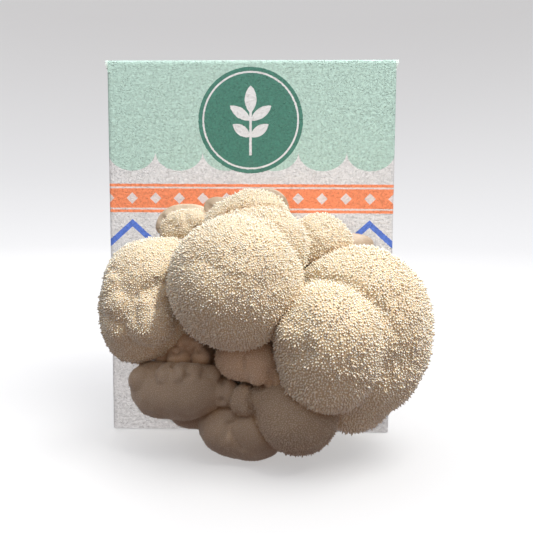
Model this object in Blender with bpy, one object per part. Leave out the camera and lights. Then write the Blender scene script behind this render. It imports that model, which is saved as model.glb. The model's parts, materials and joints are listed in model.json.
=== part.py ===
"""Lion's mane mushroom grow kit: a folded card carton that holds a bagged sawdust block,
and the cluster of pom-pom heads that grew out of the block through the carton's window.

Run it with: blender --background --python part.py
Lengths are metres and +Z is up. The origin is the middle of the carton's underside. The carton's
printed front, with the window and the mushroom, faces -Y.
"""

import math

import bmesh
import bpy
from mathutils import Vector

MM = 0.001
GAP = 0.3 * MM

# Carton, outside sizes
CARTON_WIDTH = 160.0 * MM
CARTON_DEPTH = 110.0 * MM
CARTON_HEIGHT = 210.0 * MM
BOARD = 1.5 * MM
FOLD_BOARD = 1.4 * MM
FOLD_RADIUS = 1.4 * MM
FOLD_STEPS = 3
EAR_OVERHANG = 0.9 * MM
WALL_TOP_DROP = 4.0 * MM
FREE_EDGE_DROP = 0.5 * MM
TUCK_LENGTH = 22.0 * MM
DUST_FLAP_LENGTH = 48.0 * MM
GLUE_FLAP_LENGTH = 16.0 * MM
GLUE_THICKNESS = 0.1 * MM
GLUE_LINE_INSET = 6.0 * MM
FOLD_OVERLAP = 3.0 * MM

# Window in the carton's front, and where its middle is
WINDOW_WIDTH = 82.0 * MM
WINDOW_HEIGHT = 76.0 * MM
WINDOW_RADIUS = 14.0 * MM
WINDOW_X = 4.0 * MM
WINDOW_Z = 77.0 * MM
WINDOW_STEPS = 5
WINDOW_CUT = 4.5 * MM

# Sawdust block and the film bag round it
BLOCK_WIDTH = 150.0 * MM
BLOCK_DEPTH = 100.0 * MM
BLOCK_HEIGHT = 168.0 * MM
BLOCK_RADIUS = 7.0 * MM
BLOCK_STEPS = 2
FILM = 0.5 * MM
BAG_FOLD_WIDTH = 132.0 * MM
BAG_FOLD_DEPTH = 56.0 * MM
BAG_FOLD_HEIGHT = 9.0 * MM
BAG_FOLD_RADIUS = 3.0 * MM
BAG_SLIT_DEPTH = 27.5 * MM
PATCH_SIDE = 48.0 * MM
PATCH_THICKNESS = 0.4 * MM
PATCH_RADIUS = 5.0 * MM
PATCH_STEPS = 3
PATCH_Z = 128.0 * MM

# Spacing of the points on a skin, and how softly its lobes run together
SKIN_SPACING = 6.6 * MM
BASE_SPACING = 9.2 * MM
LEAST_SKIN_POINTS = 120
TRIAL_POINTS = 40
LOBE_BLEND = 2.5 * MM
SKIN_TOLERANCE = 0.01 * MM
SKIN_STEPS = 60
CUT_CLEARANCE = 0.35 * MM
NECK_LENGTH = 4.5 * MM
NEIGHBOUR_MARGIN_MM = 2.0
SHARP_ANGLE = 40.0

# Lobes of each pom-pom head, as (x, y, z, radius) in millimetres. The heads run from the
# foremost to the rearmost, and each one is pressed in by those that stand before it.
HEADS = {
    "head_right_front": [(40.7, -118, 68.5, 25.6), (40.7, -116, 54, 21.7), (53, -104, 65, 20.5)],
    "head_upper_front": [(-3.6, -109, 93, 31.8)],
    "head_upper_ridge": [(12, -96, 109, 19.3), (0, -93, 108, 20.3)],
    "head_bottom_right": [(27, -109, 29, 20), (2, -105, 34, 7), (9, -103, 35, 7.5)],
    "head_lower_left": [
        (-44, -97, 35.5, 13.5), (-30, -101, 36, 13.5), (-19, -101, 38.5, 11), (-14, -99, 38, 7),
        (-49, -95, 40.5, 9), (-37, -107, 47, 4.5), (-29, -109, 47.5, 4), (-21.5, -109, 48, 4),
    ],
    "head_centre": [(-4, -105, 55, 10), (7, -107, 55, 11), (18, -101, 44, 5)],
    "head_bottom": [(-9, -97, 18.5, 15), (8, -97, 18.5, 16), (2, -99, 13.5, 11)],
    "head_right_back": [
        (57, -91, 73, 36.5), (66, -91, 57, 26), (58, -95, 51, 27), (55, -91, 32, 17.5),
    ],
    "head_left": [
        (-50, -89, 89.5, 23), (-39, -83, 93, 19), (-56, -89, 66, 18), (-64, -89, 77, 11.5),
        (-48, -101, 76, 12), (-41, -86, 69, 15),
    ],
    "head_crown": [(-9.5, -83, 117, 14.3), (3, -83, 120.8, 16.6), (8, -81, 121, 14.5)],
    "head_upper_right": [(38, -75, 108, 17.5), (34, -87, 107, 7)],
    "head_upper_left": [(-38, -69, 116, 10), (-28, -70, 117, 10.5)],
    "head_small_knobs": [
        (-36, -87, 58, 5.5), (-35, -92, 51, 5.5), (-28, -93, 51.5, 4.5), (-21, -92, 53, 5),
        (-27, -88, 58, 5),
    ],
    "head_lower_back": [(-32, -77, 21, 11.5), (-20, -75, 22, 12)],
}

# Lobes of the shared base behind the heads, spread over the card round the window
BASE_LOBES = [
    (4, -60, 77, 36), (-30, -66, 92, 22), (-34, -66, 66, 18), (32, -64, 100, 20),
    (44, -66, 60, 22), (4, -70, 104, 22), (-14, -68, 38, 20), (20, -70, 34, 20),
    (-6, -82, 44, 15),
]

# Finish of each material: its colour, as screen values from 0 to 255, and its roughness
CARD_FINISH = ((214, 212, 212), 0.55)
FILM_FINISH = ((226, 226, 220), 0.25)
PATCH_FINISH = ((238, 238, 234), 0.8)
SAWDUST_FINISH = ((222, 200, 160), 0.9)
BASE_FINISH = ((226, 206, 168), 0.7)
HEAD_FINISH = ((246, 234, 206), 0.8)


def linear(channel):
    """Turn one screen colour channel, 0 to 255, into the linear value a shader takes."""
    value = channel / 255.0
    if value <= 0.04045:
        return value / 12.92
    return ((value + 0.055) / 1.055) ** 2.4


def make_material(name, finish):
    """Make a Principled material from a screen colour and a roughness."""
    colour, roughness = finish
    material = bpy.data.materials.new(name)
    material.use_nodes = True
    shader = material.node_tree.nodes["Principled BSDF"]
    shader.inputs["Base Color"].default_value = [linear(c) for c in colour] + [1.0]
    shader.inputs["Roughness"].default_value = roughness
    shader.inputs["Metallic"].default_value = 0.0
    return material


def make_object(name, mesh, material=None, cutter=False):
    """Link a mesh as an object, either a finished sub-part or a hidden cutter."""
    item = bpy.data.objects.new(name, mesh)
    bpy.context.scene.collection.objects.link(item)
    if material is not None:
        mesh.materials.append(material)
    if cutter:
        item.hide_render = True
        item.display_type = "WIRE"
    return item


def add_boolean(item, other, operation):
    """Cut an object by another one, or join it to another one."""
    modifier = item.modifiers.new(other.name, "BOOLEAN")
    modifier.operation = operation
    modifier.object = other
    modifier.solver = "EXACT"


def extruded(name, outline, along):
    """Extrude a closed outline of 3-D points along a vector, into a mesh with outward faces."""
    mesh = bpy.data.meshes.new(name)
    bm = bmesh.new()
    face = bm.faces.new([bm.verts.new(point) for point in outline])
    swept = bmesh.ops.extrude_face_region(bm, geom=[face])
    moved = [part for part in swept["geom"] if isinstance(part, bmesh.types.BMVert)]
    bmesh.ops.translate(bm, verts=moved, vec=along)
    bmesh.ops.recalc_face_normals(bm, faces=bm.faces)
    bm.to_mesh(mesh)
    bm.free()
    return mesh


def rounded_rectangle(width, height, radius, steps):
    """Give the outline points of a rectangle with round corners, centred on the origin."""
    points = []
    corners = [(1, 1, 0.0), (-1, 1, 90.0), (-1, -1, 180.0), (1, -1, 270.0)]
    for side_x, side_y, start in corners:
        centre_x = side_x * (width / 2 - radius)
        centre_y = side_y * (height / 2 - radius)
        for step in range(steps + 1):
            angle = math.radians(start + 90.0 * step / steps)
            x = centre_x + radius * math.cos(angle)
            y = centre_y + radius * math.sin(angle)
            points.append((x, y))
    return points


def rounded_path(corners, radius, steps):
    """Round the inner corners of a polyline, and give its points with their side normals."""
    path = []
    last = len(corners) - 1
    for index, corner in enumerate(corners):
        here = Vector(corner)
        if index == 0 or index == last:
            other = Vector(corners[1] if index == 0 else corners[last - 1])
            heading = (other - here if index == 0 else here - other).normalized()
            path.append((here, Vector((-heading.y, heading.x))))
            continue
        into = (here - Vector(corners[index - 1])).normalized()
        out = (Vector(corners[index + 1]) - here).normalized()
        turn = into.x * out.y - into.y * out.x
        side = math.copysign(1.0, turn)
        normal_in = Vector((-into.y, into.x))
        centre = here - into * radius + normal_in * side * radius
        start = math.atan2(-normal_in.y * side, -normal_in.x * side)
        for step in range(steps + 1):
            angle = start + side * math.radians(90.0) * step / steps
            spoke = Vector((math.cos(angle), math.sin(angle)))
            path.append((centre + spoke * radius, -spoke * side))
    return path


def card_strip(corners, thickness):
    """Give the outline of a folded card strip, seen edge on, from the middle line's corners."""
    path = rounded_path(corners, FOLD_RADIUS, FOLD_STEPS)
    left = [point + normal * thickness / 2 for point, normal in path]
    right = [point - normal * thickness / 2 for point, normal in path]
    return left + right[::-1]


def make_walls():
    """Make the four upright walls, which are one strip of card with a flap glued inside."""
    half_x = CARTON_WIDTH / 2 - BOARD / 2
    half_y = CARTON_DEPTH / 2 - BOARD / 2
    flap_y = half_y - BOARD - GLUE_THICKNESS
    corners = [
        (-CARTON_WIDTH / 2 + FREE_EDGE_DROP, half_y),
        (half_x, half_y),
        (half_x, -half_y),
        (-half_x, -half_y),
        (-half_x, flap_y),
        (-half_x + GLUE_FLAP_LENGTH, flap_y),
    ]
    outline = [Vector((p.x, p.y, FREE_EDGE_DROP)) for p in card_strip(corners, BOARD)]
    height = CARTON_HEIGHT - 2 * FREE_EDGE_DROP
    return make_object("carton", extruded("carton", outline, Vector((0, 0, height))))


def make_box_cutter(name, low, high):
    """Make a hidden box that cuts, from its lowest and highest corners."""
    outline = [
        Vector((low[0], low[1], low[2])),
        Vector((high[0], low[1], low[2])),
        Vector((high[0], high[1], low[2])),
        Vector((low[0], high[1], low[2])),
    ]
    mesh = extruded(name, outline, Vector((0, 0, high[2] - low[2])))
    return make_object(name, mesh, cutter=True)


def make_glue_line():
    """Make the thin bead that joins the glue flap to the back wall."""
    seam_y = CARTON_DEPTH / 2 - BOARD
    spread = GLUE_THICKNESS
    low = (-CARTON_WIDTH / 2 + GLUE_LINE_INSET, seam_y - GLUE_THICKNESS - spread,
           GLUE_LINE_INSET)
    high = (-CARTON_WIDTH / 2 + GLUE_FLAP_LENGTH - BOARD, seam_y + spread,
            CARTON_HEIGHT - GLUE_LINE_INSET)
    return make_box_cutter("glue_line", low, high)


def make_end_panel(name, at_top):
    """Make the lid or the floor panel, with the fold that joins it to the front wall or the
    back wall, and the tab that tucks in behind the wall across from it."""
    up = 1.0 if at_top else -1.0
    end_z = CARTON_HEIGHT if at_top else 0.0
    hinge_y = up * -(CARTON_DEPTH / 2 - BOARD / 2)
    tab_y = up * (CARTON_DEPTH / 2 - BOARD - GAP - BOARD / 2)
    panel_z = end_z - up * FOLD_BOARD / 2
    overlap_z = end_z - up * (WALL_TOP_DROP + FOLD_OVERLAP)
    corners = [
        (hinge_y, overlap_z),
        (hinge_y, panel_z),
        (tab_y, panel_z),
        (tab_y, end_z - up * TUCK_LENGTH),
    ]
    width = CARTON_WIDTH + 2 * EAR_OVERHANG if at_top else CARTON_WIDTH - 2 * FREE_EDGE_DROP
    outline = []
    for point in card_strip(corners, FOLD_BOARD):
        outline.append(Vector((-width / 2, point.x, point.y)))
    mesh = extruded(name, outline, Vector((width, 0, 0)))
    inner_half = CARTON_WIDTH / 2 - BOARD - GAP
    for vertex in mesh.vertices:
        is_tab = abs(vertex.co.y - tab_y) < BOARD and abs(vertex.co.z - end_z) > BOARD + GAP
        is_hinge = abs(vertex.co.z - overlap_z) < BOARD
        limit = CARTON_WIDTH / 2 - BOARD / 2 if is_hinge else width / 2
        limit = inner_half if is_tab else limit
        vertex.co.x = max(-limit, min(limit, vertex.co.x))
    return make_object(name, mesh, cutter=True)


def make_dust_flap(name, side, at_top):
    """Make one short flap that folds in from a side wall, under the lid or over the floor."""
    up = 1.0 if at_top else -1.0
    end_z = CARTON_HEIGHT if at_top else 0.0
    wall_x = side * (CARTON_WIDTH / 2 - BOARD / 2)
    flap_z = end_z - up * (1.5 * BOARD + GAP)
    corners = [
        (wall_x, end_z - up * (WALL_TOP_DROP + FOLD_OVERLAP)),
        (wall_x, flap_z),
        (side * (CARTON_WIDTH / 2 - DUST_FLAP_LENGTH), flap_z),
    ]
    half_y = CARTON_DEPTH / 2 - 2 * BOARD - 3 * GAP
    outline = [Vector((p.x, -half_y, p.y)) for p in card_strip(corners, FOLD_BOARD)]
    mesh = extruded(name, outline, Vector((0, 2 * half_y, 0)))
    return make_object(name, mesh, cutter=True)


def window_outline(grow, y):
    """Give the window's outline on a plane of constant y, larger all round by grow."""
    flat = rounded_rectangle(
        WINDOW_WIDTH + 2 * grow, WINDOW_HEIGHT + 2 * grow, WINDOW_RADIUS + grow, WINDOW_STEPS
    )
    return [Vector((WINDOW_X + x, y, WINDOW_Z + z)) for x, z in flat]


def make_carton(material):
    """Make the carton: walls, lid, floor and flaps folded from one sheet, with its window."""
    carton = make_walls()
    carton.data.materials.append(material)
    half_x = CARTON_WIDTH
    back = CARTON_DEPTH / 2
    front = -CARTON_DEPTH
    wall_top = CARTON_HEIGHT - WALL_TOP_DROP
    top_room = make_box_cutter(
        "top_room", (-half_x, front, wall_top),
        (half_x, back - BOARD - GAP / 2, 2 * CARTON_HEIGHT))
    floor_room = make_box_cutter(
        "floor_room", (-half_x, -back + BOARD + GAP / 2, -CARTON_HEIGHT),
        (half_x, CARTON_DEPTH, WALL_TOP_DROP))
    add_boolean(carton, top_room, "DIFFERENCE")
    add_boolean(carton, floor_room, "DIFFERENCE")
    add_boolean(carton, make_glue_line(), "UNION")
    add_boolean(carton, make_end_panel("lid_panel", True), "UNION")
    add_boolean(carton, make_end_panel("floor_panel", False), "UNION")
    for at_top in (True, False):
        for side in (-1, 1):
            name = "dust_flap_{}_{}".format("top" if at_top else "floor", side + 1)
            add_boolean(carton, make_dust_flap(name, side, at_top), "UNION")
    opening = extruded(
        "window", window_outline(0.0, -back - BOARD), Vector((0, WINDOW_CUT, 0)))
    add_boolean(carton, make_object("window", opening, cutter=True), "DIFFERENCE")
    return carton


def make_rounded_block(name, width, depth, height, radius, low_z):
    """Make a box with round edges that stands on the height low_z."""
    mesh = bpy.data.meshes.new(name)
    bm = bmesh.new()
    bmesh.ops.create_cube(bm, size=1.0)
    bmesh.ops.scale(bm, vec=Vector((width, depth, height)), verts=bm.verts)
    bmesh.ops.translate(bm, vec=Vector((0, 0, low_z + height / 2)), verts=bm.verts)
    bmesh.ops.bevel(
        bm, geom=list(bm.edges), offset=radius, segments=BLOCK_STEPS, profile=0.5,
        affect="EDGES")
    bm.to_mesh(mesh)
    bm.free()
    return mesh


def block_low():
    """Give the height of the block's underside, on the bag's film over the floor flaps."""
    return 2 * BOARD + 3 * GAP + FILM


def make_block(material):
    """Make the pressed sawdust block that the mushroom feeds on."""
    mesh = make_rounded_block(
        "substrate_block", BLOCK_WIDTH, BLOCK_DEPTH, BLOCK_HEIGHT, BLOCK_RADIUS, block_low())
    return make_object("substrate_block", mesh, material)


def make_bag(material):
    """Make the film bag: a skin round the block with its top folded over, slit at the window."""
    outer = GAP + FILM
    bag = make_object("grow_bag", make_rounded_block(
        "grow_bag", BLOCK_WIDTH + 2 * outer, BLOCK_DEPTH + 2 * outer, BLOCK_HEIGHT + 2 * outer,
        BLOCK_RADIUS + outer, block_low() - outer), material)
    top_z = block_low() + BLOCK_HEIGHT + outer
    fold = make_rounded_block(
        "bag_fold", BAG_FOLD_WIDTH, BAG_FOLD_DEPTH, 2 * BAG_FOLD_HEIGHT,
        BAG_FOLD_RADIUS, top_z - BAG_FOLD_HEIGHT)
    add_boolean(bag, make_object("bag_fold", fold, cutter=True), "UNION")
    inside = make_rounded_block(
        "bag_inside", BLOCK_WIDTH + 2 * GAP, BLOCK_DEPTH + 2 * GAP, BLOCK_HEIGHT + 2 * GAP,
        BLOCK_RADIUS + GAP, block_low() - GAP)
    add_boolean(bag, make_object("bag_inside", inside, cutter=True), "DIFFERENCE")
    slit = extruded(
        "bag_slit", window_outline(0.0, -CARTON_DEPTH / 2), Vector((0, BAG_SLIT_DEPTH, 0)))
    add_boolean(bag, make_object("bag_slit", slit, cutter=True), "DIFFERENCE")
    return bag


def make_patch(material):
    """Make the square breathing patch on the back of the bag."""
    patch_y = BLOCK_DEPTH / 2 + GAP + FILM + GAP
    flat = rounded_rectangle(PATCH_SIDE, PATCH_SIDE, PATCH_RADIUS, PATCH_STEPS)
    outline = [Vector((x, patch_y, PATCH_Z + z)) for x, z in flat]
    mesh = extruded("filter_patch", outline, Vector((0, PATCH_THICKNESS, 0)))
    return make_object("filter_patch", mesh, material)


def spread_directions(count):
    """Give directions spread evenly over a sphere, by turning a golden angle each step."""
    golden = math.pi * (3.0 - math.sqrt(5.0))
    directions = []
    for index in range(count):
        z = 1.0 - (2 * index + 1) / count
        ring = math.sqrt(1.0 - z * z)
        directions.append(
            Vector((ring * math.cos(golden * index), ring * math.sin(golden * index), z)))
    return directions


def skin_distance(point, lobes):
    """Give the distance from a point to the soft union of some lobes, negative inside."""
    total = 0.0
    for centre, radius in lobes:
        total += math.exp((radius - (point - centre).length) / LOBE_BLEND)
    return -LOBE_BLEND * math.log(total)


def skin_reach(centre, direction, lobes):
    """Give how far the skin is from a head's centre, marching in from outside it."""
    reach = max((place - centre).length + radius for place, radius in lobes) + 2 * LOBE_BLEND
    for _ in range(SKIN_STEPS):
        step = skin_distance(centre + direction * reach, lobes)
        reach -= step
        if abs(step) < SKIN_TOLERANCE:
            break
    return reach


def grown_mesh(name, lobes_mm, spacing=SKIN_SPACING, grow=0.0):
    """Make the skin that wraps some lobes: points spread round their middle, moved out."""
    lobes = [(Vector(lobe[:3]) * MM, lobe[3] * MM) for lobe in lobes_mm]
    weight = sum(radius ** 3 for _, radius in lobes)
    centre = sum((place * radius ** 3 for place, radius in lobes), Vector()) / weight
    trial = [skin_reach(centre, way, lobes) for way in spread_directions(TRIAL_POINTS)]
    mean_reach = sum(trial) / len(trial)
    count = max(LEAST_SKIN_POINTS, int(4.0 * math.pi * (mean_reach / spacing) ** 2))
    bm = bmesh.new()
    for direction in spread_directions(count):
        bm.verts.new(direction)
    bmesh.ops.convex_hull(bm, input=list(bm.verts), use_existing_faces=False)
    for vertex in bm.verts:
        direction = vertex.co.normalized()
        vertex.co = centre + direction * (skin_reach(centre, direction, lobes) + grow)
    bmesh.ops.recalc_face_normals(bm, faces=bm.faces)
    mesh = bpy.data.meshes.new(name)
    bm.to_mesh(mesh)
    bm.free()
    return mesh


def lobes_meet(first, second):
    """Tell whether any lobe of one head comes near any lobe of another."""
    for lobe in first:
        for other in second:
            apart = (Vector(lobe[:3]) - Vector(other[:3])).length
            if apart < lobe[3] + other[3] + NEIGHBOUR_MARGIN_MM:
                return True
    return False


def make_heads():
    """Make the pom-pom heads from front to back, each pressed in by those before it."""
    card_face = -CARTON_DEPTH / 2 - GAP
    wall = make_box_cutter(
        "card_room", (-CARTON_WIDTH, card_face, -CARTON_HEIGHT),
        (CARTON_WIDTH, CARTON_DEPTH, 2 * CARTON_HEIGHT))
    pressers = []
    for name, lobes in HEADS.items():
        flesh = make_material(name + "_flesh", HEAD_FINISH)
        head = make_object(name, grown_mesh(name, lobes), flesh)
        for presser, presser_lobes in pressers:
            if lobes_meet(lobes, presser_lobes):
                add_boolean(head, presser, "DIFFERENCE")
        if min(-lobe[1] - lobe[3] for lobe in lobes) * MM < -card_face + GAP:
            add_boolean(head, wall, "DIFFERENCE")
        cutter_name = "room_for_" + name
        cutter = make_object(
            cutter_name, grown_mesh(cutter_name, lobes, grow=CUT_CLEARANCE), cutter=True)
        pressers.append((cutter, lobes))
    return wall, pressers


def make_base(material, wall, pressers):
    """Make the shared base: the neck through the window, and the swelling it spreads into."""
    skin = grown_mesh("mushroom_base", BASE_LOBES, BASE_SPACING)
    base = make_object("mushroom_base", skin, material)
    add_boolean(base, wall, "DIFFERENCE")
    neck_back = -BLOCK_DEPTH / 2 - GAP
    neck_front = -CARTON_DEPTH / 2 - NECK_LENGTH
    neck = extruded(
        "neck", window_outline(-GAP, neck_front), Vector((0, neck_back - neck_front, 0)))
    add_boolean(base, make_object("neck", neck, cutter=True), "UNION")
    for presser, presser_lobes in pressers:
        if lobes_meet(BASE_LOBES, presser_lobes):
            add_boolean(base, presser, "DIFFERENCE")
    return base


def shade_smooth(item):
    """Shade a grown piece smooth, and keep the line where a neighbour presses it sharp."""
    item.data.shade_smooth()
    item.data.set_sharp_from_angle(angle=math.radians(SHARP_ANGLE))


def main():
    """Clear the scene and build every sub-part."""
    for item in list(bpy.data.objects):
        bpy.data.objects.remove(item, do_unlink=True)
    make_carton(make_material("printed_card", CARD_FINISH))
    make_block(make_material("sawdust", SAWDUST_FINISH))
    make_bag(make_material("film", FILM_FINISH))
    make_patch(make_material("patch_paper", PATCH_FINISH))
    wall, pressers = make_heads()
    base = make_base(make_material("base_flesh", BASE_FINISH), wall, pressers)
    shade_smooth(base)
    for name in HEADS:
        shade_smooth(bpy.data.objects[name])


main()
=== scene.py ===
"""Looks of a lion's mane mushroom grow kit: a printed card carton and the clump of furry
pom-pom heads that has grown out of its front window.

The file is laid out as an add-on and is run as a script. Lengths are metres, +Z is up and the
carton's front faces -Y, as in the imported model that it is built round.
"""

import json
import math
from typing import NamedTuple

import bmesh
import bpy
import numpy as np
from mathutils import Matrix, Vector
from mathutils.bvhtree import BVHTree

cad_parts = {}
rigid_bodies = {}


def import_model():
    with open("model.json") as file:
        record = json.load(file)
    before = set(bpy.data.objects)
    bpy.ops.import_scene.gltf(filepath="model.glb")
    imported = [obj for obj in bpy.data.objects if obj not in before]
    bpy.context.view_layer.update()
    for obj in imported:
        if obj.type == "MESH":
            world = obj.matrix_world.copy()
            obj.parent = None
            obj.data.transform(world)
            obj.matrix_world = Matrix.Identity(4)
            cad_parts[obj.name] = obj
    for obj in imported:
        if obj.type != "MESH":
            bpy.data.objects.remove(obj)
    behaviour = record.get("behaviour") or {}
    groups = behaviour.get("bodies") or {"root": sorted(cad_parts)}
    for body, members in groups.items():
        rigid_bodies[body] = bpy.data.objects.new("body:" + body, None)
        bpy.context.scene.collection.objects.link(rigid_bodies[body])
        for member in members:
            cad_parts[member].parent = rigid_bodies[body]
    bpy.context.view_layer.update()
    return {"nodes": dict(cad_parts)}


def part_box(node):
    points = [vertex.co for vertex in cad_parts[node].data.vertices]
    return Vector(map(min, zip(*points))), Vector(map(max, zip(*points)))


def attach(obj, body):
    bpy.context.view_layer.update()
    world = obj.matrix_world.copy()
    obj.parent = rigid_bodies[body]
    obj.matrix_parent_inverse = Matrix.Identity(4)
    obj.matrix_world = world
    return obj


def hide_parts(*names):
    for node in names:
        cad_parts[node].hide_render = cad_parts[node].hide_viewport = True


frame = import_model()

bl_info = {
    "name": "Pom-pom Mushroom Grow Kit",
    "version": (1, 0, 0),
    "blender": (4, 5, 0),
    "location": "3D View > Sidebar > Grow Kit",
    "description": "Dresses a card grow kit and its clump of furry mushroom heads",
    "category": "Add Mesh",
}

MM = 0.001
BODY = "root"

# Camera, in metres and degrees, solved from the carton's front corners for a 36 mm wide sensor
CAMERA_PLACE = (0.0221, -0.4204, 0.1312)
CAMERA_PITCH = 5.523
CAMERA_YAW = -2.017
CAMERA_ROLL = 0.293
CAMERA_SENSOR = 36.0
CAMERA_LENS = 43.9
PICTURE_WIDTH = 533

# Main light, on the side from which the spines' lit edges in the picture show that it comes
KEY_PLACE = (0.59, -0.54, 1.51)

# Carton sizes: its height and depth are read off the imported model
CARTON_LOW, CARTON_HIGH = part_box("carton")
CARTON_TOP = CARTON_HIGH.z
CARTON_HALF_WIDTH = 80.0 * MM
CARTON_HALF_DEPTH = CARTON_HIGH.y


class Pom(NamedTuple):
    """One furry piece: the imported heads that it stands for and, in millimetres, the length,
    width and spacing of its spines, the height and width of the lumps under them, how finely
    its skin is divided and in how many rounds it is smoothed."""

    nodes: tuple
    length: float
    width: float
    spacing: float
    lump: float
    lump_size: float
    voxel: float = 1.3
    smoothing: int = 6


POMS = {
    "upper": Pom(
        ("head_upper_front", "head_upper_ridge", "head_upper_right"), 1.0, 0.82, 0.80, 0.7, 14.0),
    "right": Pom(("head_right_front", "head_right_back"), 1.1, 0.92, 0.97, 0.9, 15.0),
    "left": Pom(("head_left",), 0.8, 0.76, 0.80, 0.5, 9.0, 1.1),
    "crown": Pom(("head_crown",), 0.9, 0.76, 0.80, 0.6, 12.0),
    "upper_left": Pom(("head_upper_left",), 0.8, 0.70, 0.76, 0.6, 7.0, 1.0),
    "lower_left": Pom(("head_lower_left",), 0.28, 0.46, 0.62, 0.2, 9.0, 0.8, 3),
    "small_knobs": Pom(("head_small_knobs",), 0.22, 0.42, 0.60, 0.1, 8.0, 0.6, 2),
    "centre": Pom(("head_centre",), 0.7, 0.62, 0.72, 0.3, 9.0, 0.8, 3),
    "bottom": Pom(("head_bottom",), 0.28, 0.46, 0.62, 0.2, 11.0, 0.9, 4),
    "bottom_right": Pom(("head_bottom_right",), 0.8, 0.66, 0.74, 0.4, 11.0, 0.9, 4),
    "lower_back": Pom(("head_lower_back",), 0.3, 0.5, 0.7, 0.4, 10.0),
    "base": Pom(("mushroom_base",), 0.5, 0.9, 2.2, 0.8, 10.0, 2.2),
}
# Lower heads that take the darker smooth flesh: partly their own pinker tone, partly painted shade
SHADED_SMOOTH_POMS = ("small_knobs", "lower_left", "centre", "bottom", "bottom_right", "lower_back")
FILLED_POMS = ("upper", "right", "left", "crown", "upper_left", "small_knobs", "centre")
GROWN_NODES = [node for pom in POMS.values() for node in pom.nodes]

# Round knobs that a pom-pom carries. Each is the pixel of the picture at its middle, then its
# radius and how far it stands out in millimetres
KNOBS = {
    "left": [
        (150, 321, 12.0, 4.6), (122, 325, 9.0, 3.6), (124, 305, 10.0, 3.4), (147, 308, 9.0, 2.6),
        (118, 286, 7.0, 1.4),
    ],
    "small_knobs": [
        (172, 346, 5.2, 5.4), (186, 342, 5.0, 5.6), (179, 358, 5.8, 5.8), (201, 357, 4.8, 5.4),
        (197, 346, 3.8, 4.4), (211, 364, 3.2, 2.6), (162, 358, 3.6, 2.0),
    ],
    "lower_left": [
        (143, 380, 7.0, 1.4), (166, 376, 4.8, 1.0), (180, 375, 4.8, 1.1), (195, 376, 5.0, 1.1),
        (211, 376, 5.0, 1.1), (224, 392, 7.2, 5.0),
    ],
    "centre": [(278, 380, 6.4, 8.0), (258, 372, 6.0, 0.6)],
    "bottom_right": [(246, 400, 7.6, 5.0)],
}
KNOB_FACETS = 3

# Bare rims: thin smooth flaps of flesh that stand out from a pom-pom's side. Each has the packed
# head that carries it, its distance from the carton's middle and its thickness in millimetres,
# and the pixels of the picture that its outer edge runs through
RIMS = {
    "upper_left_rim": (
        "head_upper_left", 63.0, 1.3,
        (157, 237), (154, 229), (156, 221), (161, 213), (171, 206), (184, 203), (199, 203), (211, 206)),
    "middle_rim": (
        "head_crown", 70.0, 1.2, (199, 209), (204, 201), (213, 197), (223, 197), (232, 202)),
    "crown_rim": (
        "head_crown", 76.0, 1.5,
        (258, 187), (267, 187), (276, 189.5), (284, 195), (289, 202), (293, 212)),
    "right_rim": (
        "head_upper_right", 62.0, 1.2, (347, 232), (358, 233), (368, 236.5), (376, 242), (381, 251)),
}
RIM_STEPS = 30
RIM_SIDES = 12
RIM_ROOT = 2.5
RIM_SQUARENESS = 0.6

# Low swellings of a pom-pom, given as its knobs are
LOBES = {
    "upper_left": [(196, 218, 6.0, 1.0)],
    "upper": [(262, 250, 14.0, 0.9), (200, 300, 16.0, 0.7), (321, 236, 4.5, 1.4)],
    "right": [
        (285, 338, 8.0, 1.6), (322, 305, 13.0, 0.8), (385, 275, 14.0, 1.0), (412, 318, 13.0, 1.1),
        (385, 385, 12.0, 1.0),
    ],
    "lower_left": [(166, 396, 10.0, 1.2), (196, 398, 11.0, 1.4)],
    "bottom": [(213, 436, 10.0, 1.4), (254, 430, 11.0, 1.4)],
}

# Creases pressed into a pom-pom. Each has its reach to either side and its depth in
# millimetres, and then the pixels of the picture that it runs through
CREASES = {
    "left": [
        (6.0, 2.4, (168, 281), (152, 287), (142, 291)), (4.5, 2.4, (145, 286), (137, 296)),
        (5.0, 1.4, (101, 284), (109, 283)),
        (4.0, 1.0, (101, 315), (110, 319)), (3.5, 1.4, (135, 304), (136, 324)),
        (5.0, 1.0, (112, 271), (120, 273)),
    ],
    "upper_left": [(4.0, 1.0, (168, 224), (174, 227)), (3.5, 0.8, (186, 216), (189, 224))],
    "upper": [
        (10.0, 1.2, (203, 260), (214, 266)), (8.0, 0.8, (234, 256), (246, 258)),
        (3.5, 1.4, (262, 217), (279, 229), (291, 245), (300, 262)),
        (4.0, 1.8, (303, 226), (311, 240), (309, 256)), (3.0, 1.4, (313, 236), (322, 229)),
    ],
    "right": [
        (8.0, 2.2, (288, 356), (304, 351)), (5.0, 1.0, (394, 296), (402, 312)),
        (5.0, 2.2, (297, 283), (318, 277), (342, 281), (366, 295), (384, 311)),
        (5.0, 1.2, (384, 311), (396, 332)), (6.0, 1.2, (345, 384), (342, 410)),
    ],
    "small_knobs": [
        (2.6, 2.6, (168, 354), (178, 352), (184, 347), (194, 346)),
        (2.4, 2.2, (192, 350), (193, 364)), (2.0, 1.6, (198, 350), (199, 351)),
    ],
    "lower_left": [
        (2.4, 2.6, (187, 364), (187, 376)), (2.2, 1.6, (173, 365), (173, 374)),
        (3.0, 2.0, (158, 365), (153, 375)), (2.2, 1.6, (203, 365), (202, 375)),
        (3.0, 3.0, (219, 368), (223, 382), (222, 402)),
    ],
    "centre": [(2.4, 2.0, (242, 356), (242, 369)), (2.4, 2.6, (270, 372), (271, 386))],
    "bottom": [
        (3.6, 2.6, (240, 412), (235, 422), (228, 424)), (3.4, 1.6, (232, 425), (234, 436), (241, 448)),
    ],
    "bottom_right": [(3.4, 2.6, (253, 383), (250, 400), (255, 416))],
}

# One spine: how many sides it has and how many rings divide it
SPINE_SIDES = 4
SPINE_SEGMENTS = 2

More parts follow.
